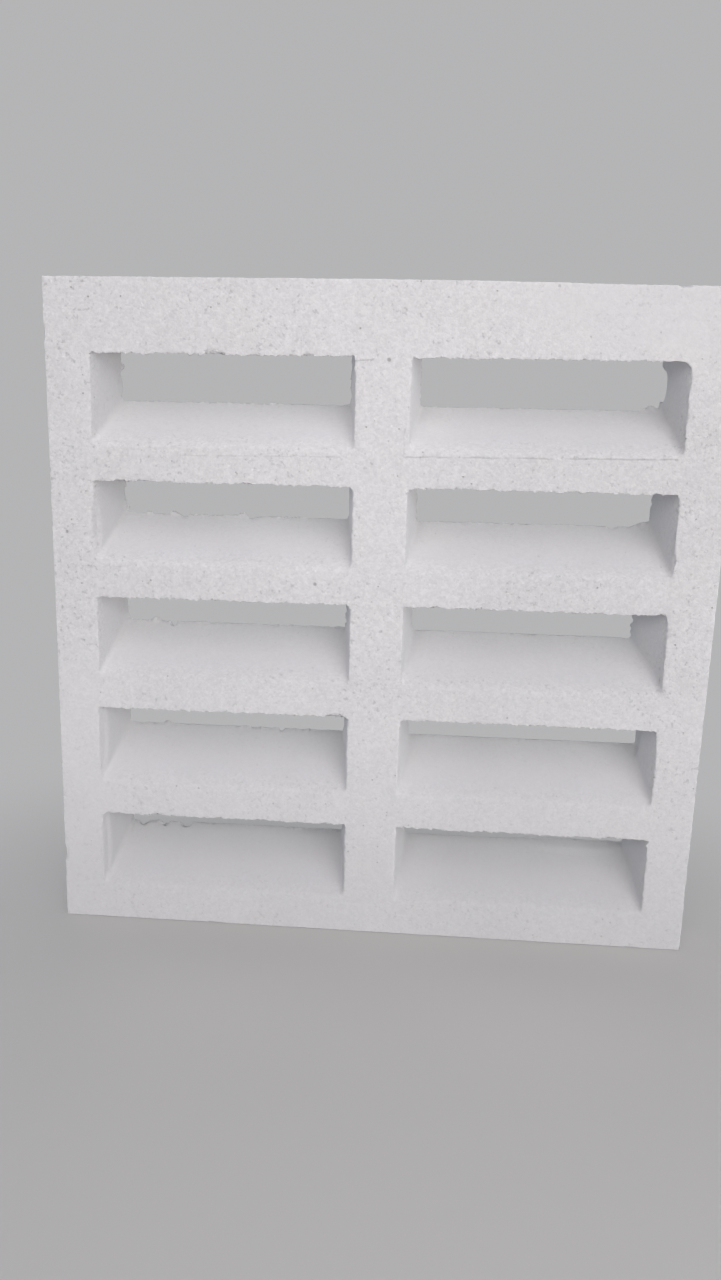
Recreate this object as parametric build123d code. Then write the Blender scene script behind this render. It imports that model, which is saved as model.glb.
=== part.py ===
from build123d import *
import os
from math import atan2, cos, degrees, radians, sin, tan

# Louvred ventilation block of concrete, cast in one piece
# Millimetres, +Z up, the weather face towards -Y. The origin is at the middle of the bottom face.

# Slot pattern on the front face
columns = 2
rows = 5
slot_width = 196.0
slot_height = 61.0
top_slot_extra = 4.0  # the head of the top row stands this much higher than the others

# Concrete left round and between the slots on the front face
side_margin = 34.0
mullion_width = 40.0
bar_height = 27.0
bottom_band = 30.0
top_band = 53.0
block_depth = 50.0

# How far each slot climbs and narrows on its way from the front face to the back face
sill_rise = 36.0
head_rise = 26.0
jamb_draft = 7.0

# Rounded edges
arris_radius = 1.5  # outer edges of the block
lip_radius = 4.0  # front edge of each sill
corner_radius = 3.0  # the two upper corners of each slot

# Overall size that follows from the pattern
block_width = 2 * side_margin + columns * slot_width + (columns - 1) * mullion_width
slot_pitch_x = slot_width + mullion_width
slot_pitch_z = slot_height + bar_height
top_sill = bottom_band + (rows - 1) * slot_pitch_z
block_height = top_sill + slot_height + top_slot_extra + top_band
front = -block_depth / 2
back = block_depth / 2

# The cores that leave the slots run this far past both faces
overrun = 10.0


# Section of a core across the block, in Y and Z: sill, rounded lip, head
def core_section(sill_z, height):
    past_back = back + overrun
    past_front = front - overrun
    sill_slope = atan2(sill_rise, block_depth)
    lip_run = lip_radius / tan((radians(90) + sill_slope) / 2)
    lip_start = (front + lip_run * cos(sill_slope), sill_z + lip_run * sin(sill_slope))
    lip_end = (front, sill_z - lip_run)
    head_z = sill_z + height
    sill_at_back = sill_z + sill_rise * (past_back - front) / block_depth
    head_at_back = head_z + head_rise * (past_back - front) / block_depth
    head_in_front = head_z + head_rise * (past_front - front) / block_depth
    rim = Polyline(
        lip_end,
        (past_front, lip_end[1]),
        (past_front, head_in_front),
        (past_back, head_at_back),
        (past_back, sill_at_back),
        lip_start,
    )
    lip = TangentArc(lip_start, lip_end, tangent=(-cos(sill_slope), -sin(sill_slope)))
    return Plane.YZ * make_face([rim, lip])


# Plan of a core, in X and Y: the jambs close in towards the back face
def core_plan():
    half_front = slot_width / 2 + jamb_draft * overrun / block_depth
    half_back = slot_width / 2 - jamb_draft * (block_depth + overrun) / block_depth
    return make_face(
        Polyline(
            (-half_front, front - overrun),
            (half_front, front - overrun),
            (half_back, back + overrun),
            (-half_back, back + overrun),
            close=True,
        )
    )


# One core: its section drawn out along the block, trimmed to the plan, with its upper corners rounded
def slot_core(centre_x, sill_z, height):
    drawn_out = extrude(core_section(sill_z, height), amount=slot_width, both=True)
    trimmed = drawn_out & extrude(core_plan(), amount=block_height, both=True)
    long_edges = trimmed.edges().filter_by(lambda e: abs(e.position_at(1).Y - e.position_at(0).Y) > block_depth)
    upper_corners = long_edges.sort_by(Axis.Z)[-2:]
    return Pos(centre_x, 0, 0) * fillet(upper_corners, corner_radius)


# The cast block: a slab with rounded arrises, less one core for each slot
slab = Box(block_width, block_depth, block_height, align=(Align.CENTER, Align.CENTER, Align.MIN))
vent_block = fillet(slab.edges(), arris_radius)
for column in range(columns):
    slot_x = (column - (columns - 1) / 2) * slot_pitch_x
    for row in range(rows):
        extra = top_slot_extra if row == rows - 1 else 0.0
        vent_block -= slot_core(slot_x, bottom_band + row * slot_pitch_z, slot_height + extra)

os.makedirs("parts", exist_ok=True)
export_step(vent_block, "parts/vent_block.step")

print("block", block_width, "x", block_depth, "x", block_height, "mm")
print("sill slope", round(degrees(atan2(sill_rise, block_depth)), 1), "degrees")
print("volume", round(vent_block.volume / 1e6, 3), "litres")
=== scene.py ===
from math import cos, radians, sin

import bpy
from mathutils import Euler, Matrix, Vector


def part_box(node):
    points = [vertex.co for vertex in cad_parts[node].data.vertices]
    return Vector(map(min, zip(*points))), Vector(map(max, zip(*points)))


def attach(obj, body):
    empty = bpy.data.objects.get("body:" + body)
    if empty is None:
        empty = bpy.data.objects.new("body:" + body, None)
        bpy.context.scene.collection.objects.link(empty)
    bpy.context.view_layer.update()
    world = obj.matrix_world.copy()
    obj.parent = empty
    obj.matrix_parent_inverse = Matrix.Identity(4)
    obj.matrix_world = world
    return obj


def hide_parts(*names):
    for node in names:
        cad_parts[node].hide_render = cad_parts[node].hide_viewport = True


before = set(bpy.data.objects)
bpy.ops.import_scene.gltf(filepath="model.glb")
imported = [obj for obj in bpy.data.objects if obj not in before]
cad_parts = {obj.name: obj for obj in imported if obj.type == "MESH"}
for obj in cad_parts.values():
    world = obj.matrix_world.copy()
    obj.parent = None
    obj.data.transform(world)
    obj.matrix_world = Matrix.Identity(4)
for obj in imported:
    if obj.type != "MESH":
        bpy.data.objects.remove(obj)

scene = bpy.context.scene
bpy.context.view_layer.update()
blockLow, blockHigh = (Vector(corner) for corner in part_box("vent_block"))


# Node helpers: every tree below is put together with these calls

def newTree(name, kind, inputs, outputs):
    tree = bpy.data.node_groups.new(name, kind)
    for label, socketKind, value in inputs:
        socket = tree.interface.new_socket(label, in_out="INPUT", socket_type=socketKind)
        if value is not None:
            socket.default_value = value
    for label, socketKind in outputs:
        tree.interface.new_socket(label, in_out="OUTPUT", socket_type=socketKind)
    source = tree.nodes.new("NodeGroupInput").outputs
    target = tree.nodes.new("NodeGroupOutput").inputs
    return tree, source, target


def feed(tree, socket, value):
    if isinstance(value, bpy.types.NodeSocket):
        tree.links.new(value, socket)
    else:
        socket.default_value = value


def addNode(tree, kind, sockets=None, **settings):
    node = tree.nodes.new(kind)
    for name, value in settings.items():
        setattr(node, name, value)
    for key, value in (sockets or {}).items():
        feed(tree, node.inputs[key], value)
    count = len(tree.nodes)
    node.location = (190 * (count % 14), -260 * (count // 14))
    return node


def calc(tree, operation, *values):
    return addNode(tree, "ShaderNodeMath", dict(enumerate(values)), operation=operation).outputs[0]


def product(tree, first, *others):
    for other in others:
        first = calc(tree, "MULTIPLY", first, other)
    return first


def vectorCalc(tree, operation, *values):
    node = addNode(tree, "ShaderNodeVectorMath", dict(enumerate(values)), operation=operation)
    return node.outputs["Value" if operation in ("LENGTH", "DISTANCE", "DOT_PRODUCT") else "Vector"]


def scaled(tree, vector, factor):
    sockets = {"Vector": vector, "Scale": factor}
    return addNode(tree, "ShaderNodeVectorMath", sockets, operation="SCALE").outputs[0]


def ramp(tree, value, start, end, low=0.0, high=1.0):
    sockets = {"Value": value, "From Min": start, "From Max": end, "To Min": low, "To Max": high}
    return addNode(tree, "ShaderNodeMapRange", sockets, interpolation_type="SMOOTHSTEP").outputs[0]


def split(tree, vector):
    return addNode(tree, "ShaderNodeSeparateXYZ", {"Vector": vector}).outputs


def join(tree, x, y, z):
    return addNode(tree, "ShaderNodeCombineXYZ", {"X": x, "Y": y, "Z": z}).outputs[0]


def noise(tree, place, perMetre, detail=2.0, roughness=0.5):
    sockets = {"Vector": place, "Scale": perMetre, "Detail": detail, "Roughness": roughness}
    return addNode(tree, "ShaderNodeTexNoise", sockets).outputs


def mixed(tree, factor, low, high):
    return addNode(tree, "ShaderNodeMix", {0: factor, 2: low, 3: high}, data_type="FLOAT").outputs[0]


def mixedVector(tree, factor, low, high):
    return addNode(tree, "ShaderNodeMix", {0: factor, 4: low, 5: high}, data_type="VECTOR").outputs[1]


def mixedColor(tree, factor, low, high):
    return addNode(tree, "ShaderNodeMix", {0: factor, 6: low, 7: high}, data_type="RGBA").outputs[2]


# The same for the trees that shape the block

geometryOutput = [("Geometry", "NodeSocketGeometry")]


def position(tree):
    return addNode(tree, "GeometryNodeInputPosition").outputs[0]


def moveTo(tree, geometry, place):
    return addNode(tree, "GeometryNodeSetPosition", {"Geometry": geometry, "Position": place}).outputs[0]


def moveBy(tree, geometry, offset):
    return addNode(tree, "GeometryNodeSetPosition", {"Geometry": geometry, "Offset": offset}).outputs[0]


def realized(tree, geometry):
    return addNode(tree, "GeometryNodeRealizeInstances", {"Geometry": geometry}).outputs[0]


# Values that the points keep while they move
def captured(tree, geometry, values):
    node = addNode(tree, "GeometryNodeCaptureAttribute", {"Geometry": geometry}, domain="POINT")
    for label, value in values.items():
        node.capture_items.new("VECTOR" if value.type == "VECTOR" else "FLOAT", label)
        feed(tree, node.inputs[label], value)
    return node.outputs


def separated(tree, geometry, chosen, domain):
    sockets = {"Geometry": geometry, "Selection": chosen}
    return addNode(tree, "GeometryNodeSeparateGeometry", sockets, domain=domain).outputs[0]


# The value at the nearest point of another mesh
def nearestValue(tree, mesh, value, place, kind):
    sockets = {"Mesh": mesh, "Value": value, "Sample Position": place}
    return addNode(tree, "GeometryNodeSampleNearestSurface", sockets, data_type=kind).outputs[0]


# The attribute slotFace is 1 on the faces that a core formed and 0 on the others
def storeSlotFace(tree, geometry, value, domain):
    sockets = {"Geometry": geometry, "Name": "slotFace", "Value": value}
    node = addNode(tree, "GeometryNodeStoreNamedAttribute", sockets, data_type="FLOAT", domain=domain)
    return node.outputs[0]


def readSlotFace(tree):
    node = addNode(tree, "GeometryNodeInputNamedAttribute", {"Name": "slotFace"}, data_type="FLOAT")
    return node.outputs[0]


def addTreeModifier(piece, tree, values):
    modifier = piece.modifiers.new(tree.name, "NODES")
    modifier.node_group = tree
    identifiers = {item.name: item.identifier for item in tree.interface.items_tree if item.in_out == "INPUT"}
    for label, value in values.items():
        modifier[identifiers[label]] = value


def newPiece(name, data):
    piece = bpy.data.objects.new(name, data)
    scene.collection.objects.link(piece)
    return piece


# The evaluated result of a piece's modifiers as a mesh of its own
def evaluatedMesh(piece, name):
    bpy.context.view_layer.update()
    depsgraph = bpy.context.evaluated_depsgraph_get()
    mesh = bpy.data.meshes.new_from_object(piece.evaluated_get(depsgraph), depsgraph=depsgraph)
    mesh.name = name
    return mesh


def triangleCount(mesh):
    return sum(len(face.vertices) - 2 for face in mesh.polygons)


# The casting: a slab less one tapered core for each slot. Metres, front face towards -Y.
casting = {
    "Columns": 2,
    "Rows": 5,
    "Slot Width": 0.196,
    "Slot Height": 0.061,
    "Top Slot Extra": 0.004,
    "Mullion": 0.040,
    "Bar": 0.027,
    "Bottom Band": 0.030,
    "Sill Rise": 0.036,
    "Head Rise": 0.026,
    "Jamb Draft": 0.007,
    "Lip Radius": 0.004,
    "Corner Radius": 0.0018,
    "Root Radius": 0.0035,
    "Low": blockLow,
    "High": blockHigh,
}
coreOverrun = 0.010  # a core runs this far past both faces
coreSteps = 141  # points along a core
cornerSteps = 4  # points round a corner of its outline
voxelSize = 0.0010
triangleLimit = 190000


def castingTree():
    kinds = {int: "NodeSocketInt", float: "NodeSocketFloat", Vector: "NodeSocketVector"}
    inputs = [(label, kinds[type(value)], value) for label, value in casting.items()]
    tree, given, result = newTree("louvredCasting", "GeometryNodeTree", inputs, geometryOutput)
    size = vectorCalc(tree, "SUBTRACT", given["High"], given["Low"])
    depth = split(tree, size)["Y"]
    front = split(tree, given["Low"])["Y"]
    middle = scaled(tree, vectorCalc(tree, "ADD", given["High"], given["Low"]), 0.5)
    cube = addNode(tree, "GeometryNodeMeshCube", {"Size": size})
    slab = addNode(tree, "GeometryNodeTransform", {"Geometry": cube.outputs["Mesh"], "Translation": middle})

    # One straight core, as wide and high as the slot at the front
    start = join(tree, 0.0, calc(tree, "SUBTRACT", front, coreOverrun), 0.0)
    end = join(tree, 0.0, calc(tree, "ADD", calc(tree, "ADD", front, depth), coreOverrun), 0.0)
    line = addNode(tree, "GeometryNodeCurvePrimitiveLine", {"Start": start, "End": end})
    path = addNode(tree, "GeometryNodeResampleCurve", {"Curve": line.outputs[0], "Count": coreSteps})
    outline = addNode(tree, "GeometryNodeCurvePrimitiveQuadrilateral",
                      {"Width": given["Slot Width"], "Height": given["Slot Height"]})
    place = position(tree)
    upper = calc(tree, "LESS_THAN", split(tree, place)["Y"], 0.0)  # the sweep turns the outline upside down
    radius = mixed(tree, upper, given["Root Radius"], given["Corner Radius"])
    rounded = addNode(tree, "GeometryNodeFilletCurve",
                      {"Curve": outline.outputs[0], "Radius": radius, "Count": cornerSteps}, mode="POLY")
    tube = addNode(tree, "GeometryNodeCurveToMesh",
                   {"Curve": path.outputs[0], "Profile Curve": rounded.outputs[0], "Fill Caps": True})

    # Its sill and head climb towards the back, its jambs close in, and the lip of the sill is rounded
    along = split(tree, place)
    past = calc(tree, "SUBTRACT", along["Y"], front)
    share = calc(tree, "DIVIDE", past, depth)
    slope = calc(tree, "ARCTAN2", given["Sill Rise"], depth)
    halfTurn = calc(tree, "MULTIPLY", calc(tree, "ADD", slope, radians(90)), 0.5)
    lipRun = calc(tree, "DIVIDE", given["Lip Radius"], calc(tree, "TANGENT", halfTurn))
    lipEnd = calc(tree, "MULTIPLY", lipRun, calc(tree, "COSINE", slope))
    inside = calc(tree, "SUBTRACT", given["Lip Radius"], calc(tree, "MAXIMUM", past, 0.0))
    square = calc(tree, "SUBTRACT", calc(tree, "POWER", given["Lip Radius"], 2.0),
                  calc(tree, "POWER", inside, 2.0))
    lip = calc(tree, "SUBTRACT", calc(tree, "SQRT", calc(tree, "MAXIMUM", square, 0.0)), lipRun)
    climb = calc(tree, "MULTIPLY", given["Sill Rise"], share)
    sill = mixed(tree, calc(tree, "LESS_THAN", past, lipEnd), climb, lip)
    head = calc(tree, "MULTIPLY_ADD", given["Head Rise"], share, given["Slot Height"])
    height = calc(tree, "ADD", calc(tree, "DIVIDE", along["Z"], given["Slot Height"]), 0.5)
    narrowing = calc(tree, "DIVIDE", calc(tree, "MULTIPLY", given["Jamb Draft"], 2.0), given["Slot Width"])
    across = calc(tree, "SUBTRACT", 1.0, calc(tree, "MULTIPLY", narrowing, share))
    narrowed = calc(tree, "MULTIPLY", along["X"], across)
    tapered = join(tree, narrowed, along["Y"], mixed(tree, height, sill, head))
    straight = captured(tree, tube.outputs[0], {"height": height})
    core = moveTo(tree, straight["Geometry"], tapered)

    # A core at every crossing of column and row, the head of the top row a little higher
    index = addNode(tree, "GeometryNodeInputIndex").outputs[0]
    row = calc(tree, "FLOOR", calc(tree, "DIVIDE", calc(tree, "ADD", index, 0.5), given["Columns"]))
    column = calc(tree, "SUBTRACT", index, calc(tree, "MULTIPLY", row, given["Columns"]))
    middleColumn = calc(tree, "MULTIPLY", calc(tree, "SUBTRACT", given["Columns"], 1.0), 0.5)
    pitchX = calc(tree, "ADD", given["Slot Width"], given["Mullion"])
    pitchZ = calc(tree, "ADD", given["Slot Height"], given["Bar"])
    slotX = calc(tree, "MULTIPLY", calc(tree, "SUBTRACT", column, middleColumn), pitchX)
    slotZ = calc(tree, "MULTIPLY_ADD", row, pitchZ, given["Bottom Band"])
    slotCount = calc(tree, "MULTIPLY", given["Columns"], given["Rows"])
    points = addNode(tree, "GeometryNodePoints",
                     {"Count": slotCount, "Position": join(tree, slotX, 0.0, slotZ)})
    lastRow = calc(tree, "GREATER_THAN", row, calc(tree, "SUBTRACT", given["Rows"], 1.5))
    extra = calc(tree, "MULTIPLY", lastRow, given["Top Slot Extra"])
    raised = captured(tree, points.outputs[0], {"raise": extra})
    cores = addNode(tree, "GeometryNodeInstanceOnPoints", {"Points": raised["Geometry"], "Instance": core})
    lift = join(tree, 0.0, 0.0, calc(tree, "MULTIPLY", straight["height"], raised["raise"]))
    lifted = moveBy(tree, realized(tree, cores.outputs[0]), lift)
    named = storeSlotFace(tree, lifted, 1.0, "FACE")
    cast = addNode(tree, "GeometryNodeMeshBoolean", {"Mesh 1": slab.outputs[0], "Mesh 2": named},
                   operation="DIFFERENCE", solver="MANIFOLD")
    feed(tree, result["Geometry"], realized(tree, cast.outputs[0]))
    return tree


# The skin of the casting: everything that stripping the mould and handling did to it. Lengths in metres.
skin = {
    "Wear": 0.0022,  # how far from an arris the wear reaches
    "Swell": 0.00035,  # slow unevenness of every face
    "Grain": 0.00005,  # sand standing proud of the faces
    "Crumble": 0.0010,  # depth of the crumbs lost along the arrises
    "Chip": 0.0024,  # depth of the few larger chips
    "Chip Reach": 0.0040,  # and how far from an arris they reach
    "Nib": 0.0034,  # ragged front edge of the heads
    "Nib Reach": 0.0024,
    "Burr": 0.0026,  # ragged flash along the back edges of the slots
    "Burr Reach": 0.0045,
    "Top Row Burr": 0.75,  # share of it in the top row
    "Right Column Burr": 0.5,  # share of it in the right column
    "Left Bow": 0.0007,  # the left end is hollow by this much at half height
    "Right Shift": 0.0018,  # the right end stands in by this much at the foot
    "Top Drop": 0.0024,  # the top falls by this much towards the right
}
# How fine the patterns of the skin are, in cells to the metre
fineness = {
    "swell": 28.0,
    "sand": 290.0,
    "crumbs": 230.0,
    "crumblyPatches": 34.0,
    "chips": 42.0,
    "chipOutlines": 160.0,
    "nibs": 150.0,
    "nibCrumbs": 400.0,
    "teeth": 290.0,
    "toothedLengths": 26.0,
    "brokenMarks": 260.0,
}
# Marks that show on the photograph: the place of each, its half lengths, how far it moves the surface,
# and the share of its reach in which it does so evenly (0 for a broken mark)
marks = [
    # Top row: the right jamb set back, a lump at its foot, nicks in two heads and along the left jamb
    ((0.2105, 0.0250, 0.4355), (0.0300, 0.0110, 0.0150), (0.0050, 0.0, 0.0), 0.6),
    ((0.2050, 0.0245, 0.4190), (0.0120, 0.0070, 0.0055), (0.0, 0.0, 0.0036), 0.0),
    ((-0.1454, -0.0250, 0.4470), (0.0060, 0.0030, 0.0024), (0.0, 0.0, 0.0009), 0.0),
    ((-0.0222, -0.0250, 0.4465), (0.0030, 0.0030, 0.0022), (0.0, 0.0, 0.0010), 0.0),
    ((-0.2072, 0.0250, 0.4440), (0.0050, 0.0045, 0.0032), (0.0036, 0.0, 0.0), 0.0),
    ((-0.2085, 0.0250, 0.4380), (0.0040, 0.0040, 0.0026), (-0.0014, 0.0, 0.0), 0.0),
    ((-0.2080, 0.0250, 0.4220), (0.0030, 0.0040, 0.0026), (-0.0022, 0.0, 0.0), 0.0),
    # Second row: lumps and gaps along the back edges
    ((-0.2045, 0.0245, 0.3350), (0.0070, 0.0060, 0.0090), (0.0036, 0.0, 0.0), 0.0),
    ((-0.1891, 0.0250, 0.3310), (0.0045, 0.0045, 0.0040), (0.0, 0.0, 0.0016), 0.0),
    ((-0.1690, 0.0250, 0.3310), (0.0040, 0.0045, 0.0040), (0.0, 0.0, 0.0026), 0.0),
    ((-0.1602, 0.0250, 0.3295), (0.0045, 0.0045, 0.0035), (0.0, 0.0, -0.0022), 0.0),
    ((-0.1125, 0.0250, 0.3305), (0.0045, 0.0045, 0.0040), (0.0, 0.0, 0.0018), 0.0),
    ((-0.1052, 0.0250, 0.3295), (0.0035, 0.0045, 0.0035), (0.0, 0.0, -0.0028), 0.0),
    ((0.1805, 0.0250, 0.3300), (0.0045, 0.0045, 0.0040), (0.0, 0.0, -0.0020), 0.0),
    ((0.2060, 0.0250, 0.3310), (0.0120, 0.0060, 0.0060), (0.0, 0.0, 0.0036), 0.0),
    ((0.2095, 0.0250, 0.3620), (0.0050, 0.0050, 0.0100), (0.0020, 0.0, 0.0), 0.0),
    # Right jambs of rows three and four, and the sill of the last slot, higher towards its right end
    ((0.2090, 0.0250, 0.2500), (0.0400, 0.0520, 0.0460), (-0.0075, 0.0, 0.0), 0.05),
    ((0.2050, 0.0250, 0.2553), (0.0070, 0.0060, 0.0034), (0.0022, 0.0, 0.0), 0.0),
    ((0.2090, 0.0250, 0.1650), (0.0240, 0.0200, 0.0260), (0.0038, 0.0, 0.0), 0.6),
    ((0.1700, 0.0250, 0.0660), (0.0600, 0.0160, 0.0120), (0.0, 0.0, 0.0024), 0.6),
    # Left jambs in front
    ((-0.2160, -0.0250, 0.3180), (0.0090, 0.0120, 0.0240), (-0.0020, 0.0, 0.0), 0.6),
    ((-0.2160, -0.0250, 0.1550), (0.0090, 0.0120, 0.0400), (-0.0016, 0.0, 0.0), 0.6),
    ((-0.2160, -0.0250, 0.0600), (0.0090, 0.0120, 0.0440), (-0.0016, 0.0, 0.0), 0.6),
    # Lower rows: lumps and gaps along the back edges
    ((-0.1700, 0.0250, 0.2410), (0.0030, 0.0060, 0.0055), (0.0, 0.0, -0.0046), 0.0),
    ((-0.1855, 0.0250, 0.2430), (0.0065, 0.0050, 0.0045), (0.0, 0.0, 0.0026), 0.0),
    ((-0.1771, 0.0250, 0.1545), (0.0040, 0.0050, 0.0040), (0.0, 0.0, 0.0020), 0.0),
    ((-0.0793, 0.0250, 0.1540), (0.0025, 0.0050, 0.0040), (0.0, 0.0, -0.0028), 0.0),
    ((-0.1991, 0.0250, 0.0655), (0.0050, 0.0065, 0.0055), (0.0, 0.0, -0.0046), 0.0),
    ((-0.1804, 0.0250, 0.0655), (0.0042, 0.0065, 0.0050), (0.0, 0.0, -0.0036), 0.0),
    ((-0.1619, 0.0250, 0.0655), (0.0055, 0.0065, 0.0055), (0.0, 0.0, -0.0044), 0.0),
]
# Upper right corners of slots that came out rounder than the rest: from the front face to the back face
roundCorners = [
    {"front": (0.2160, -0.0250, 0.4470), "back": (0.2090, 0.0250, 0.4730), "radius": 0.0070},
]
trimmedInputs = [
    ("Geometry", "NodeSocketGeometry", None),
    ("Crisp Casting", "NodeSocketObject", None),
    ("Low", "NodeSocketVector", blockLow),
    ("High", "NodeSocketVector", blockHigh),
]


def keptInside(tree, place, given):
    return vectorCalc(tree, "MINIMUM", vectorCalc(tree, "MAXIMUM", place, given["Low"]), given["High"])


# Distance from each point to the chosen edges of the crisp casting
def edgeGap(tree, crisp, chosen, place):
    sockets = {"Geometry": separated(tree, crisp, chosen, "EDGE"), "Sample Position": place}
    return addNode(tree, "GeometryNodeProximity", sockets, target_element="EDGES").outputs["Distance"]


# Distances to the arrises of the crisp casting: to any of them, and to the slots' front and back edges.
# With them goes the direction that the nearest slot face looks in.
def edgeFacts(tree, given, place):
    outermost = 0.97  # an edge past this share of the way out is the block's own
    band = 0.001
    low, high, xyz = split(tree, given["Low"]), split(tree, given["High"]), split(tree, place)
    crisp = addNode(tree, "GeometryNodeObjectInfo", {"Object": given["Crisp Casting"]}).outputs["Geometry"]
    angle = addNode(tree, "GeometryNodeInputMeshEdgeAngle").outputs["Signed Angle"]
    convex = calc(tree, "GREATER_THAN", angle, 0.5)
    sideways = calc(tree, "DIVIDE", calc(tree, "ABSOLUTE", xyz["X"]), high["X"])
    upwards = calc(tree, "DIVIDE", calc(tree, "MULTIPLY", xyz["Z"], 2.0), high["Z"])
    upwards = calc(tree, "ABSOLUTE", calc(tree, "SUBTRACT", upwards, 1.0))
    within = calc(tree, "LESS_THAN", calc(tree, "MAXIMUM", sideways, upwards), outermost)
    ofSlot = calc(tree, "MULTIPLY", convex, within)
    inFront = calc(tree, "LESS_THAN", xyz["Y"], calc(tree, "ADD", low["Y"], band))
    atBack = calc(tree, "GREATER_THAN", xyz["Y"], calc(tree, "SUBTRACT", high["Y"], band))
    slots = separated(tree, crisp, calc(tree, "GREATER_THAN", readSlotFace(tree), 0.5), "FACE")
    normal = addNode(tree, "GeometryNodeInputNormal").outputs[0]
    return {
        "gap": edgeGap(tree, crisp, convex, place),
        "front": edgeGap(tree, crisp, calc(tree, "MULTIPLY", ofSlot, inFront), place),
        "back": edgeGap(tree, crisp, calc(tree, "MULTIPLY", ofSlot, atBack), place),
        "inward": nearestValue(tree, slots, normal, place, "FLOAT_VECTOR"),
    }


# Height of the surface along its normal: swell and sand, less crumbs and chips near the arrises
def relief(tree, given, place, gap, near, onSill):
    swell = calc(tree, "SUBTRACT", noise(tree, place, fineness["swell"])[0], 0.62)
    sand = calc(tree, "SUBTRACT", noise(tree, place, fineness["sand"], 2.0, 0.6)[0], 0.5)
    proud = calc(tree, "ADD", calc(tree, "MULTIPLY", swell, given["Swell"]),
                 calc(tree, "MULTIPLY", sand, given["Grain"]))
    lost = ramp(tree, noise(tree, place, fineness["crumbs"], 3.0, 0.65)[0], 0.42, 0.70)
    patch = ramp(tree, noise(tree, place, fineness["crumblyPatches"])[0], 0.38, 0.66, 0.15, 1.0)
    crumble = calc(tree, "MULTIPLY", calc(tree, "MULTIPLY", lost, patch),
                   calc(tree, "MULTIPLY", near, given["Crumble"]))
    bend = scaled(tree, noise(tree, place, fineness["chipOutlines"])["Color"], 0.006)
    bent = vectorCalc(tree, "ADD", place, bend)
    cells = addNode(tree, "ShaderNodeTexVoronoi", {"Vector": bent, "Scale": fineness["chips"]})
    chance = calc(tree, "GREATER_THAN", split(tree, cells.outputs["Color"])["X"], 0.84)
    chip = calc(tree, "MULTIPLY", ramp(tree, cells.outputs["Distance"], 0.12, 0.42, 1.0, 0.0), chance)
    depth = calc(tree, "MULTIPLY", ramp(tree, gap, 0.0, given["Chip Reach"], 1.0, 0.0), given["Chip"])
    chip = calc(tree, "MULTIPLY", chip, depth)
    firm = mixed(tree, onSill, 1.0, 0.2)
    shed = calc(tree, "MULTIPLY", calc(tree, "ADD", crumble, chip), firm)
    return calc(tree, "SUBTRACT", proud, shed)


# Nibs along the front edges of the slots, fewer on the sills and none at a rounder corner
def nibs(tree, given, place, frontGap, onHead, onSill):
    crumbs = calc(tree, "SUBTRACT", noise(tree, place, fineness["nibCrumbs"], 2.0, 0.6)[0], 0.49)
    slow = calc(tree, "SUBTRACT", noise(tree, place, fineness["nibs"])[0], 0.45)
    ragged = calc(tree, "MULTIPLY_ADD", crumbs, 1.3, slow)
    share = mixed(tree, onSill, mixed(tree, onHead, 0.8, 2.3), 0.15)
    nib = product(tree, ragged, share, given["Nib"], ramp(tree, frontGap, 0.0, given["Nib Reach"], 1.0, 0.0))
    for corner in roundCorners:
        away = vectorCalc(tree, "DISTANCE", place, corner["front"])
        nib = calc(tree, "MULTIPLY", nib, ramp(tree, away, 0.008, 0.020))
    return nib


# Flash in teeth along the back edges of the slots, drawn out along the depth
def flash(tree, given, place, backGap):
    xyz = split(tree, place)
    flat = vectorCalc(tree, "MULTIPLY", place, (1.0, 0.35, 1.0))
    teeth = ramp(tree, noise(tree, flat, fineness["teeth"], 3.0, 0.65)[0], 0.36, 0.66, -0.6, 1.0)
    lengths = ramp(tree, noise(tree, flat, fineness["toothedLengths"], 1.0)[0], 0.36, 0.62, 0.18, 1.0)
    byRow = ramp(tree, xyz["Z"], 0.396, 0.402, 1.0, given["Top Row Burr"])
    byColumn = ramp(tree, xyz["X"], -0.01, 0.01, 1.0, given["Right Column Burr"])
    height = product(tree, byRow, byColumn, given["Burr"])
    near = ramp(tree, backGap, 0.0, given["Burr Reach"], 1.0, 0.0)
    return product(tree, calc(tree, "MULTIPLY", teeth, lengths), height, near)


# How far a point at a rounder corner moves to lie on its rounding
def rounding(tree, place, corner):
    radius = corner["radius"]
    front, back = Vector(corner["front"]), Vector(corner["back"])
    depth = calc(tree, "SUBTRACT", split(tree, place)["Y"], front.y)
    share = calc(tree, "DIVIDE", depth, back.y - front.y)
    atFront = front - Vector((radius, 0.0, radius))
    center = vectorCalc(tree, "ADD", scaled(tree, back - front, share), atFront)
    fromCenter = vectorCalc(tree, "MULTIPLY", vectorCalc(tree, "SUBTRACT", place, center), (1.0, 0.0, 1.0))
    onCore = vectorCalc(tree, "MINIMUM", fromCenter, (radius, 0.0, radius))
    onCore = vectorCalc(tree, "MAXIMUM", onCore, (0.0, 0.0, 0.0))
    length = calc(tree, "MAXIMUM", vectorCalc(tree, "LENGTH", onCore), radius)
    outward = calc(tree, "SUBTRACT", calc(tree, "DIVIDE", radius, length), 1.0)
    near = ramp(tree, vectorCalc(tree, "DISTANCE", fromCenter, onCore), 0.0, radius, 1.0, 0.0)
    return scaled(tree, onCore, calc(tree, "MULTIPLY", outward, near))


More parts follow.
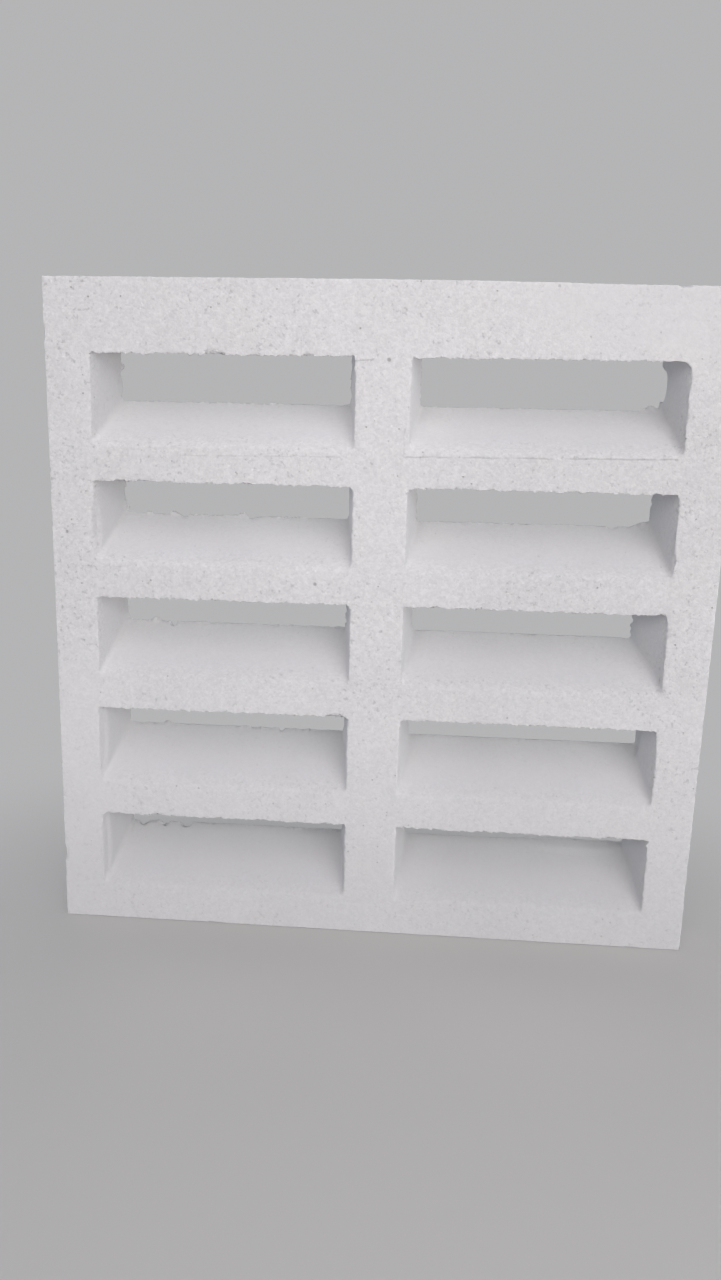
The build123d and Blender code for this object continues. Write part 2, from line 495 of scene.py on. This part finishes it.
# The marks of this very block and its rounder corners
def markPush(tree, place):
    brokenStart = 0.45  # a broken mark fades from this share of its reach
    broken = ramp(tree, noise(tree, place, fineness["brokenMarks"], 3.0, 0.6)[0], 0.3, 0.6, 0.45, 1.15)
    parts = []
    for at, half, move, even in marks:
        away = vectorCalc(tree, "DIVIDE", vectorCalc(tree, "SUBTRACT", place, at), half)
        strength = ramp(tree, vectorCalc(tree, "LENGTH", away), even or brokenStart, 1.0, 1.0, 0.0)
        if not even:
            strength = calc(tree, "MULTIPLY", strength, broken)
        parts.append(scaled(tree, move, strength))
    parts += [rounding(tree, place, corner) for corner in roundCorners]
    push = parts[0]
    for part in parts[1:]:
        push = vectorCalc(tree, "ADD", push, part)
    return push


# The outline as it was cast
def outlineShift(tree, given, place):
    marginStart = 0.222
    low, high, xyz = split(tree, given["Low"]), split(tree, given["High"]), split(tree, place)
    rise = calc(tree, "DIVIDE", xyz["Z"], high["Z"])
    bowShape = product(tree, rise, calc(tree, "SUBTRACT", 1.0, rise), 4.0)
    leftward = ramp(tree, xyz["X"], -marginStart, low["X"])
    bow = product(tree, bowShape, leftward, given["Left Bow"])
    rightward = ramp(tree, xyz["X"], marginStart, high["X"])
    shift = product(tree, rightward, ramp(tree, rise, 0.8, 0.0), given["Right Shift"])
    drop = product(tree, ramp(tree, rise, 0.9, 1.0), ramp(tree, xyz["X"], 0.0, 0.25), given["Top Drop"])
    return join(tree, calc(tree, "SUBTRACT", bow, shift), 0.0, calc(tree, "MULTIPLY", drop, -1.0))


def skinTree():
    inputs = trimmedInputs + [(label, "NodeSocketFloat", value) for label, value in skin.items()]
    tree, given, result = newTree("castSkin", "GeometryNodeTree", inputs, geometryOutput)
    place = position(tree)
    facts = captured(tree, given["Geometry"], edgeFacts(tree, given, place))
    facing = split(tree, facts["inward"])["Z"]  # -1 on a head, 0 on a jamb, 0.8 on a sill
    onHead = ramp(tree, facing, -0.3, -0.7)
    onSill = ramp(tree, facing, 0.3, 0.7)

    # Arrises are worn round first: near them each point moves to the mean of its neighbours
    smooth = addNode(tree, "GeometryNodeBlurAttribute", {"Value": place, "Iterations": 3},
                     data_type="FLOAT_VECTOR").outputs[0]
    near = ramp(tree, facts["gap"], 0.0, given["Wear"], 1.0, 0.0)
    shape = moveTo(tree, facts["Geometry"], mixedVector(tree, near, place, smooth))

    # Then come the relief, the ragged edges of the slots where the cores left them, the marks and the outline
    normal = addNode(tree, "GeometryNodeInputNormal").outputs[0]
    shape = moveBy(tree, shape, scaled(tree, normal, relief(tree, given, place, facts["gap"], near, onSill)))
    nib = nibs(tree, given, place, facts["front"], onHead, onSill)
    ragged = calc(tree, "ADD", nib, flash(tree, given, place, facts["back"]))
    shape = moveBy(tree, shape, scaled(tree, facts["inward"], ragged))
    shape = moveBy(tree, shape, markPush(tree, place))
    shape = moveBy(tree, shape, outlineShift(tree, given, place))

    # Last, nothing stands out of the block's nominal size
    shape = moveTo(tree, shape, keptInside(tree, place, given))
    feed(tree, result["Geometry"], realized(tree, shape))
    return tree


# What the finish needs to know at each point: whether a core formed it
def surfaceTree():
    inputs = trimmedInputs + [("Material", "NodeSocketMaterial", None)]
    tree, given, result = newTree("castSurface", "GeometryNodeTree", inputs, geometryOutput)
    crisp = addNode(tree, "GeometryNodeObjectInfo", {"Object": given["Crisp Casting"]}).outputs["Geometry"]
    place = position(tree)
    inSlot = nearestValue(tree, crisp, readSlotFace(tree), place, "FLOAT")
    named = storeSlotFace(tree, given["Geometry"], inSlot, "POINT")
    whole = realized(tree, moveTo(tree, named, keptInside(tree, place, given)))
    dressed = addNode(tree, "GeometryNodeSetMaterial", {"Geometry": whole, "Material": given["Material"]})
    feed(tree, result["Geometry"], dressed.outputs[0])
    return tree


def castBlock(material):
    form = newPiece("form", bpy.data.meshes.new("form"))
    tree = castingTree()
    addTreeModifier(form, tree, {})
    formMesh = evaluatedMesh(form, "formMesh")
    form.modifiers.clear()
    addTreeModifier(form, tree, {"Lip Radius": 0.0, "Corner Radius": 0.0, "Root Radius": 0.0})
    crisp = newPiece("crisp", evaluatedMesh(form, "crispMesh"))
    form.modifiers.clear()
    form.data = formMesh
    print("casting:", len(formMesh.polygons), "faces")
    remesh = form.modifiers.new("evenSkin", "REMESH")
    remesh.mode = "VOXEL"
    remesh.voxel_size = voxelSize
    addTreeModifier(form, skinTree(), {"Crisp Casting": crisp})
    dense = evaluatedMesh(form, "denseMesh")
    form.modifiers.clear()
    print("skin:", triangleCount(dense), "triangles")
    form.data = dense
    thin = form.modifiers.new("thin", "DECIMATE")
    thin.ratio = min(1.0, triangleLimit / triangleCount(dense))
    addTreeModifier(form, surfaceTree(), {"Crisp Casting": crisp, "Material": material})
    mesh = evaluatedMesh(form, "ventBlockCast")
    print("thinned:", triangleCount(mesh), "triangles")
    bpy.data.objects.remove(form)
    bpy.data.objects.remove(crisp)
    mesh.shade_smooth()
    return newPiece("vent_block_cast", mesh)


# Shader groups, in object coordinates (metres)

# Sand in cement paste: a height in millimetres and a tone about 0
def sandGroup():
    inputs = [("Place", "NodeSocketVector", None), ("Grain Size", "NodeSocketFloat", 0.0015),
              ("Coarse Share", "NodeSocketFloat", 0.5)]
    tree, given, result = newTree("castSand", "ShaderNodeTree", inputs,
                                  [("Height", "NodeSocketFloat"), ("Tone", "NodeSocketFloat")])
    perMetre = calc(tree, "DIVIDE", 1.0, given["Grain Size"])
    bend = noise(tree, given["Place"], calc(tree, "MULTIPLY", perMetre, 0.6))["Color"]
    bent = vectorCalc(tree, "ADD", given["Place"], scaled(tree, bend, 0.0012))
    grains = addNode(tree, "ShaderNodeTexVoronoi", {"Vector": bent, "Scale": perMetre})
    paste = noise(tree, given["Place"], calc(tree, "MULTIPLY", perMetre, 0.45), 4.0, 0.65)
    rounded = calc(tree, "SUBTRACT", 0.5, grains.outputs["Distance"])
    coarse = calc(tree, "SUBTRACT", paste["Fac"], 0.5)
    height = mixed(tree, given["Coarse Share"], rounded, calc(tree, "MULTIPLY", coarse, 2.0))
    each = calc(tree, "SUBTRACT", split(tree, grains.outputs["Color"])["X"], 0.5)
    feed(tree, result["Height"], height)
    feed(tree, result["Tone"], calc(tree, "MULTIPLY_ADD", each, 0.5, coarse))
    return tree


# Irregular specks, denser in patches: 1 inside one, 0 between them
def speckGroup():
    inputs = [("Place", "NodeSocketVector", None), ("Size", "NodeSocketFloat", 0.003),
              ("Patch Size", "NodeSocketFloat", 0.04), ("Sparse", "NodeSocketFloat", 0.70),
              ("Dense", "NodeSocketFloat", 0.60), ("Soft", "NodeSocketFloat", 0.07)]
    tree, given, result = newTree("specks", "ShaderNodeTree", inputs, [("Mask", "NodeSocketFloat")])
    fine = noise(tree, given["Place"], calc(tree, "DIVIDE", 1.0, given["Size"]), 3.0, 0.6)
    patch = noise(tree, given["Place"], calc(tree, "DIVIDE", 1.0, given["Patch Size"]), 2.0, 0.5)
    level = ramp(tree, patch["Fac"], 0.35, 0.65, given["Sparse"], given["Dense"])
    feed(tree, result["Mask"], ramp(tree, fine["Fac"], level, calc(tree, "ADD", level, given["Soft"])))
    return tree


# Small round voids left by air: 1 inside one, 0 between them
def pinHoleGroup():
    inputs = [("Place", "NodeSocketVector", None), ("Spacing", "NodeSocketFloat", 0.006),
              ("Share", "NodeSocketFloat", 0.2), ("Radius", "NodeSocketFloat", 0.0006)]
    tree, given, result = newTree("pinHoles", "ShaderNodeTree", inputs, [("Mask", "NodeSocketFloat")])
    perMetre = calc(tree, "DIVIDE", 1.0, given["Spacing"])
    cells = addNode(tree, "ShaderNodeTexVoronoi", {"Vector": given["Place"], "Scale": perMetre})
    color = split(tree, cells.outputs["Color"])
    chosen = calc(tree, "LESS_THAN", color["X"], given["Share"])
    size = calc(tree, "MULTIPLY", given["Radius"], mixed(tree, color["Y"], 0.5, 1.3))
    reach = calc(tree, "DIVIDE", size, given["Spacing"])
    hole = ramp(tree, calc(tree, "DIVIDE", cells.outputs["Distance"], reach), 0.6, 1.2, 1.0, 0.0)
    feed(tree, result["Mask"], calc(tree, "MULTIPLY", hole, chosen))
    return tree


# Slow cloudiness of the paste, about 0
def cloudGroup():
    inputs = [("Place", "NodeSocketVector", None), ("Size", "NodeSocketFloat", 0.06)]
    tree, given, result = newTree("pasteClouds", "ShaderNodeTree", inputs, [("Tone", "NodeSocketFloat")])
    perMetre = calc(tree, "DIVIDE", 1.0, given["Size"])
    slow = noise(tree, given["Place"], perMetre, 3.0, 0.55)
    feed(tree, result["Tone"], calc(tree, "SUBTRACT", slow["Fac"], 0.5))
    return tree


# A fine line in the front face between two places, here and there interrupted
def lineGroup():
    inputs = [("Place", "NodeSocketVector", None), ("Start", "NodeSocketVector", None),
              ("End", "NodeSocketVector", None), ("Width", "NodeSocketFloat", 0.0008),
              ("Front", "NodeSocketFloat", blockLow.y)]
    tree, given, result = newTree("faceLine", "ShaderNodeTree", inputs, [("Mask", "NodeSocketFloat")])
    flat = vectorCalc(tree, "MULTIPLY", given["Place"], (1.0, 0.0, 1.0))
    slow = vectorCalc(tree, "SUBTRACT", noise(tree, flat, 90.0)["Color"], (0.5, 0.5, 0.5))
    flat = vectorCalc(tree, "ADD", flat, vectorCalc(tree, "MULTIPLY", slow, (0.0016, 0.0, 0.0016)))
    along = vectorCalc(tree, "SUBTRACT", given["End"], given["Start"])
    fromStart = vectorCalc(tree, "SUBTRACT", flat, given["Start"])
    share = calc(tree, "DIVIDE", vectorCalc(tree, "DOT_PRODUCT", fromStart, along),
                 vectorCalc(tree, "DOT_PRODUCT", along, along))
    share = calc(tree, "MINIMUM", calc(tree, "MAXIMUM", share, 0.0), 1.0)
    away = vectorCalc(tree, "DISTANCE", fromStart, scaled(tree, along, share))
    line = ramp(tree, away, calc(tree, "MULTIPLY", given["Width"], 0.25), given["Width"], 1.0, 0.0)
    kept = ramp(tree, noise(tree, flat, 70.0)["Fac"], 0.36, 0.52)
    depth = calc(tree, "SUBTRACT", split(tree, given["Place"])["Y"], given["Front"])
    line = calc(tree, "MULTIPLY", line, ramp(tree, depth, 0.0015, 0.0025, 1.0, 0.0))
    feed(tree, result["Mask"], calc(tree, "MULTIPLY", line, kept))
    return tree


concrete = {
    "paste": (0.749, 0.726, 0.724, 1.0),
    "core": (0.712, 0.694, 0.700, 1.0),  # on the faces the cores formed, in front
    "coreBack": (0.715, 0.695, 0.688, 1.0),  # and at the back
    # The colour of a void is painted shade, the dark of its hollow
    "hole": (0.40, 0.385, 0.37, 1.0),
    "roughness": 0.93,
    "matte": 0.7,  # how much the rough paste scatters light back
    "gloss": 0.25,
    "grainHeight": 0.38,  # this and the three below in millimetres
    "pitHeight": 0.20,
    "lineHeight": 0.12,
    "holeDepth": 0.8,
    "holeShade": 0.7,  # how much of the painted shade a void shows
    "grainTone": 0.22,
    "blotchTone": 0.12,
    "blotchFineness": 150.0,  # in cells to the metre
    "cloudTone": 0.07,
    "cloudSize": 0.05,
    # The next value is painted shade: how much darker the small pits are
    "pitShade": 0.19,
    "speckLight": 0.13,
    "lineDark": 0.18,
    "tint": 0.014,  # slow change between a warmer and a colder grey
    "tintSize": 0.035,
    "calmCore": 0.32,  # how much of the texture is left on the faces the cores formed
    "calmFoot": 0.5,  # and near the bottom edge
    "roughReach": 0.018,  # metres behind the front face before a slot is smooth
    "footShade": 0.08,  # painted shade: darker near the bottom edge, where the light falls off
    "rightColumnShade": 0.04,  # painted shade over the right column, below the top band
    "middleLight": 0.04,  # painted light: how much lighter the block is round the top of the mullion
}
sandGrains = {"Grain Size": 0.0016, "Coarse Share": 0.5}
pitSpecks = {"Size": 0.0034, "Sparse": 0.64, "Dense": 0.56, "Soft": 0.14}
lightSpecks = {"Size": 0.0026, "Sparse": 0.70, "Dense": 0.62, "Soft": 0.12}
smallVoids = {"Spacing": 0.0060, "Share": 0.10, "Radius": 0.0006}
largeVoids = {"Spacing": 0.024, "Share": 0.16, "Radius": 0.0011}
# Where the front face came out smoother than the rest, and how much of its texture is left there
calmPatches = [
    {"at": (-0.235, -0.025, 0.110), "half": (0.045, 0.050, 0.150), "left": 0.6},
    {"at": (0.215, -0.025, 0.490), "half": (0.150, 0.050, 0.055), "left": 0.45},
]
# Mould marks, a scratch and a hair crack of the front face: from, to (x and z), width, strength
faceLines = [
    ((0.0168, 0.3773), (0.2120, 0.3800), 0.0009, 1.0),
    ((0.0164, 0.3776), (0.0166, 0.3967), 0.0008, 0.8),
    ((-0.1493, 0.3749), (-0.0301, 0.3765), 0.0008, 0.55),
    ((-0.2269, 0.2904), (-0.1972, 0.2906), 0.0008, 0.6),
    ((-0.2284, 0.4960), (-0.2166, 0.4962), 0.0010, 1.3),
    ((-0.0214, 0.4443), (-0.0085, 0.4450), 0.0008, 1.2),
]


def newMaterial(name):
    material = bpy.data.materials.new(name)
    material.use_nodes = True
    material.node_tree.nodes.clear()
    return material


def placeGroup(tree, group, place, sockets):
    node = addNode(tree, "ShaderNodeGroup")
    node.node_tree = group
    for label, value in {"Place": place, **sockets}.items():
        feed(tree, node.inputs[label], value)
    return node.outputs


# How much of the texture shows: less on the faces the cores formed, at the foot and on the calm patches
def textureShare(tree, place, xyz, inside):
    calm = ramp(tree, xyz["Z"], 0.27, 0.02, 1.0, concrete["calmFoot"])
    for patch in calmPatches:
        fromPatch = vectorCalc(tree, "SUBTRACT", place, patch["at"])
        away = vectorCalc(tree, "LENGTH", vectorCalc(tree, "DIVIDE", fromPatch, patch["half"]))
        calm = calc(tree, "MULTIPLY", calm, ramp(tree, away, 0.5, 1.0, patch["left"], 1.0))
    return calc(tree, "MULTIPLY", mixed(tree, inside, 1.0, concrete["calmCore"]), calm)


# Painted shade and light: darker towards the foot and over the right column, where the light falls off, and
# lighter round the top of the mullion, a painted pool of light
def paintedShadeAndLight(tree, place, xyz, tone):
    tone = calc(tree, "MULTIPLY_ADD", ramp(tree, xyz["Z"], 0.17, 0.0), -concrete["footShade"], tone)
    rightShade = calc(tree, "MULTIPLY", ramp(tree, xyz["X"], 0.0, 0.10), ramp(tree, xyz["Z"], 0.46, 0.40))
    tone = calc(tree, "MULTIPLY_ADD", rightShade, -concrete["rightColumnShade"], tone)
    fromMiddle = vectorCalc(tree, "LENGTH", vectorCalc(tree, "SUBTRACT", place, (0.0, blockLow.y, 0.42)))
    lightPool = ramp(tree, fromMiddle, 0.02, 0.22, 1.0, 0.0)
    return calc(tree, "MULTIPLY_ADD", lightPool, concrete["middleLight"], tone)


def concreteMaterial():
    material = newMaterial("castConcrete")
    tree = material.node_tree
    holeTree, speckTree, lineTree, cloudTree = pinHoleGroup(), speckGroup(), lineGroup(), cloudGroup()
    place = addNode(tree, "ShaderNodeTexCoord").outputs["Object"]
    elsewhere = vectorCalc(tree, "ADD", place, (3.1, 5.7, 1.9))
    shifted = vectorCalc(tree, "ADD", place, (7.3, 2.1, 4.7))
    xyz = split(tree, place)
    slot = addNode(tree, "ShaderNodeAttribute", attribute_name="slotFace").outputs["Fac"]
    behind = ramp(tree, xyz["Y"], blockLow.y, blockLow.y + concrete["roughReach"])
    inside = calc(tree, "MULTIPLY", slot, behind)
    texture = textureShare(tree, place, xyz, inside)
    sand = placeGroup(tree, sandGroup(), place, sandGrains)
    cloud = placeGroup(tree, cloudTree, place, {"Size": concrete["cloudSize"]})["Tone"]
    hue = placeGroup(tree, cloudTree, shifted, {"Size": concrete["tintSize"]})["Tone"]
    blotches = noise(tree, place, concrete["blotchFineness"], 3.0, 0.6)["Fac"]
    blotch = calc(tree, "SUBTRACT", blotches, 0.5)
    pits = placeGroup(tree, speckTree, place, pitSpecks)["Mask"]
    light = placeGroup(tree, speckTree, elsewhere, lightSpecks)["Mask"]
    small = placeGroup(tree, holeTree, place, smallVoids)["Mask"]
    large = placeGroup(tree, holeTree, place, largeVoids)["Mask"]
    hole = calc(tree, "MULTIPLY", calc(tree, "MAXIMUM", small, large), texture)

    tone = calc(tree, "MULTIPLY", sand["Tone"], concrete["grainTone"])
    tone = calc(tree, "MULTIPLY_ADD", blotch, concrete["blotchTone"], tone)
    tone = calc(tree, "MULTIPLY_ADD", light, concrete["speckLight"], tone)
    # Painted shade in the pits
    tone = calc(tree, "MULTIPLY_ADD", pits, -concrete["pitShade"], tone)
    tone = calc(tree, "MULTIPLY", tone, texture)
    tone = calc(tree, "MULTIPLY_ADD", cloud, concrete["cloudTone"], tone)
    height = calc(tree, "MULTIPLY", sand["Height"], concrete["grainHeight"])
    height = calc(tree, "MULTIPLY_ADD", pits, -concrete["pitHeight"], height)
    height = calc(tree, "MULTIPLY", height, texture)
    height = calc(tree, "MULTIPLY_ADD", hole, -concrete["holeDepth"], height)
    for start, end, width, strength in faceLines:
        sockets = {"Start": (start[0], 0.0, start[1]), "End": (end[0], 0.0, end[1]), "Width": width}
        line = placeGroup(tree, lineTree, place, sockets)["Mask"]
        tone = calc(tree, "MULTIPLY_ADD", line, -concrete["lineDark"] * strength, tone)
        height = calc(tree, "MULTIPLY_ADD", line, -concrete["lineHeight"] * strength, height)
    # Painted shade at the foot and over the right column, painted light round the top of the mullion
    factor = calc(tree, "ADD", paintedShadeAndLight(tree, place, xyz, tone), 1.0)

    towardsBack = ramp(tree, xyz["Y"], blockLow.y, blockHigh.y)
    core = mixedColor(tree, towardsBack, concrete["core"], concrete["coreBack"])
    color = mixedColor(tree, inside, concrete["paste"], core)
    warm = calc(tree, "MULTIPLY", factor, calc(tree, "MULTIPLY_ADD", hue, concrete["tint"], 1.0))
    cold = calc(tree, "MULTIPLY", factor, calc(tree, "MULTIPLY_ADD", hue, -concrete["tint"], 1.0))
    color = vectorCalc(tree, "MULTIPLY", color, join(tree, warm, factor, cold))
    # Painted shade in the voids
    color = mixedColor(tree, calc(tree, "MULTIPLY", hole, concrete["holeShade"]), color, concrete["hole"])
    bump = addNode(tree, "ShaderNodeBump", {"Height": height, "Distance": 0.001, "Strength": 1.0})
    shader = addNode(tree, "ShaderNodeBsdfPrincipled", {"Base Color": color, "Normal": bump.outputs[0]})
    shader.inputs["Roughness"].default_value = concrete["roughness"]
    shader.inputs["Diffuse Roughness"].default_value = concrete["matte"]
    shader.inputs["Specular IOR Level"].default_value = concrete["gloss"]
    addNode(tree, "ShaderNodeOutputMaterial", {"Surface": shader.outputs[0]})
    print("concrete:", len(tree.nodes), "nodes")
    return material


# The studio: a round pale floor that runs into the same pale surroundings, and soft lamps all round
studio = {
    "floor": (0.66, 0.625, 0.595, 1.0),  # as it is seen
    "bounce": (0.36, 0.35, 0.34, 1.0),  # and as it lights the block
    "surroundings": (0.46, 0.46, 0.468, 1.0),
    "floorGlow": 0.3,  # share of the surroundings in the floor near the block
    "floorRadius": 3.0,
    "window": (0.24, 0.24, 0.24),  # light of the surroundings, strongest from the right
    "sky": (0.085, 0.12, 0.165),  # and the same from everywhere
}
lamps = {
    "front": {"place": (0.05, -1.6, 0.35), "size": 1.6, "watts": 17.2, "color": (0.983, 0.998, 1.019)},
    "top": {"place": (0.0, -1.2, 1.5), "size": 1.5, "watts": 8.87, "color": (1.074, 0.982, 0.945)},
    "right": {"place": (0.8, -0.9, 0.1), "size": 0.6, "watts": 5.1, "color": (1.0, 1.0, 1.0)},
    "left": {"place": (-2.0, 0.5, 0.3), "size": 0.9, "watts": 6.0, "color": (0.80, 1.0, 1.20)},
    "back": {"place": (0.0, 2.2, 0.5), "size": 2.0, "watts": 20.0, "color": (1.08, 1.0, 0.93)},
}


# 1 for the rays that show a thing, 0 for those that only carry its light on
def seenRays(tree):
    path = addNode(tree, "ShaderNodeLightPath").outputs
    direct = calc(tree, "MAXIMUM", path["Is Camera Ray"], path["Is Glossy Ray"])
    return calc(tree, "MAXIMUM", direct, path["Is Transmission Ray"])


def buildFloor():
    sides = 96
    radius = studio["floorRadius"]
    below = -0.0002
    turns = [radians(360 * i / sides) for i in range(sides)]
    rim = [(radius * cos(turn), radius * sin(turn), below) for turn in turns]
    mesh = bpy.data.meshes.new("floor")
    mesh.from_pydata(rim, [], [list(range(sides))])
    floor = newPiece("floor", mesh)
    material = newMaterial("paleFloor")
    tree = material.node_tree
    place = addNode(tree, "ShaderNodeTexCoord").outputs["Object"]
    away = vectorCalc(tree, "DISTANCE", place, (0.0, -0.4, 0.0))
    seen = seenRays(tree)
    fade = calc(tree, "MULTIPLY", ramp(tree, away, 0.40, 0.85, studio["floorGlow"], 1.0), seen)
    color = mixedColor(tree, seen, studio["bounce"], studio["floor"])
    ground = addNode(tree, "ShaderNodeBsdfDiffuse", {"Color": color})
    glow = addNode(tree, "ShaderNodeEmission", {"Color": studio["surroundings"], "Strength": 1.0})
    blend = addNode(tree, "ShaderNodeMixShader", {0: fade, 1: ground.outputs[0], 2: glow.outputs[0]})
    addNode(tree, "ShaderNodeOutputMaterial", {"Surface": blend.outputs[0]})
    mesh.materials.append(material)
    print("floor:", radius, "m in radius")


def buildLight():
    world = bpy.data.worlds.new("studioSky")
    scene.world = world
    world.use_nodes = True
    tree = world.node_tree
    tree.nodes.clear()
    seen = seenRays(tree)
    across = split(tree, addNode(tree, "ShaderNodeTexCoord").outputs["Generated"])["X"]
    window = scaled(tree, studio["window"], calc(tree, "MAXIMUM", across, 0.0))
    light = vectorCalc(tree, "ADD", window, studio["sky"])
    sky = addNode(tree, "ShaderNodeBackground", {"Color": light, "Strength": 1.0})
    pale = addNode(tree, "ShaderNodeBackground", {"Color": studio["surroundings"], "Strength": 1.0})
    blend = addNode(tree, "ShaderNodeMixShader", {0: seen, 1: sky.outputs[0], 2: pale.outputs[0]})
    addNode(tree, "ShaderNodeOutputWorld", {"Surface": blend.outputs[0]})
    aim = Vector((0.0, 0.0, 0.25))
    for name, values in lamps.items():
        lamp = bpy.data.lights.new(name, "AREA")
        lamp.shape = "SQUARE"
        lamp.size = values["size"]
        lamp.energy = values["watts"]
        lamp.color = values["color"]
        held = newPiece(name, lamp)
        held.location = values["place"]
        held.rotation_euler = (aim - held.location).to_track_quat("-Z", "Y").to_euler()
        held.visible_camera = False
    print("light:", len(lamps), "lamps")


# The camera as the photograph was taken: hand-held, pitched down, turned a little left and not quite level
view = {
    "place": (0.0296, -0.6514, 0.3570),
    "pitch": -10.49,
    "turn": 3.76,
    "roll": 1.47,
    "focalPixels": 839.1,
    "imageHeight": 1280,
}


def buildCamera():
    lens = bpy.data.cameras.new("camera")
    lens.sensor_width = 36.0
    lens.lens = view["focalPixels"] / view["imageHeight"] * lens.sensor_width
    lens.clip_start = 0.02
    camera = newPiece("camera", lens)
    aim = Euler((radians(90 + view["pitch"]), 0.0, radians(view["turn"]))).to_matrix()
    aim = aim @ Matrix.Rotation(radians(view["roll"]), 3, "Z")
    camera.matrix_world = Matrix.Translation(view["place"]) @ aim.to_4x4()
    scene.camera = camera
    print("camera:", round(lens.lens, 1), "mm lens")


buildCamera()
buildFloor()
buildLight()
scene.view_settings.view_transform = "Standard"
finish = concreteMaterial()
block = castBlock(finish)
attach(block, "root")
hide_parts("vent_block")
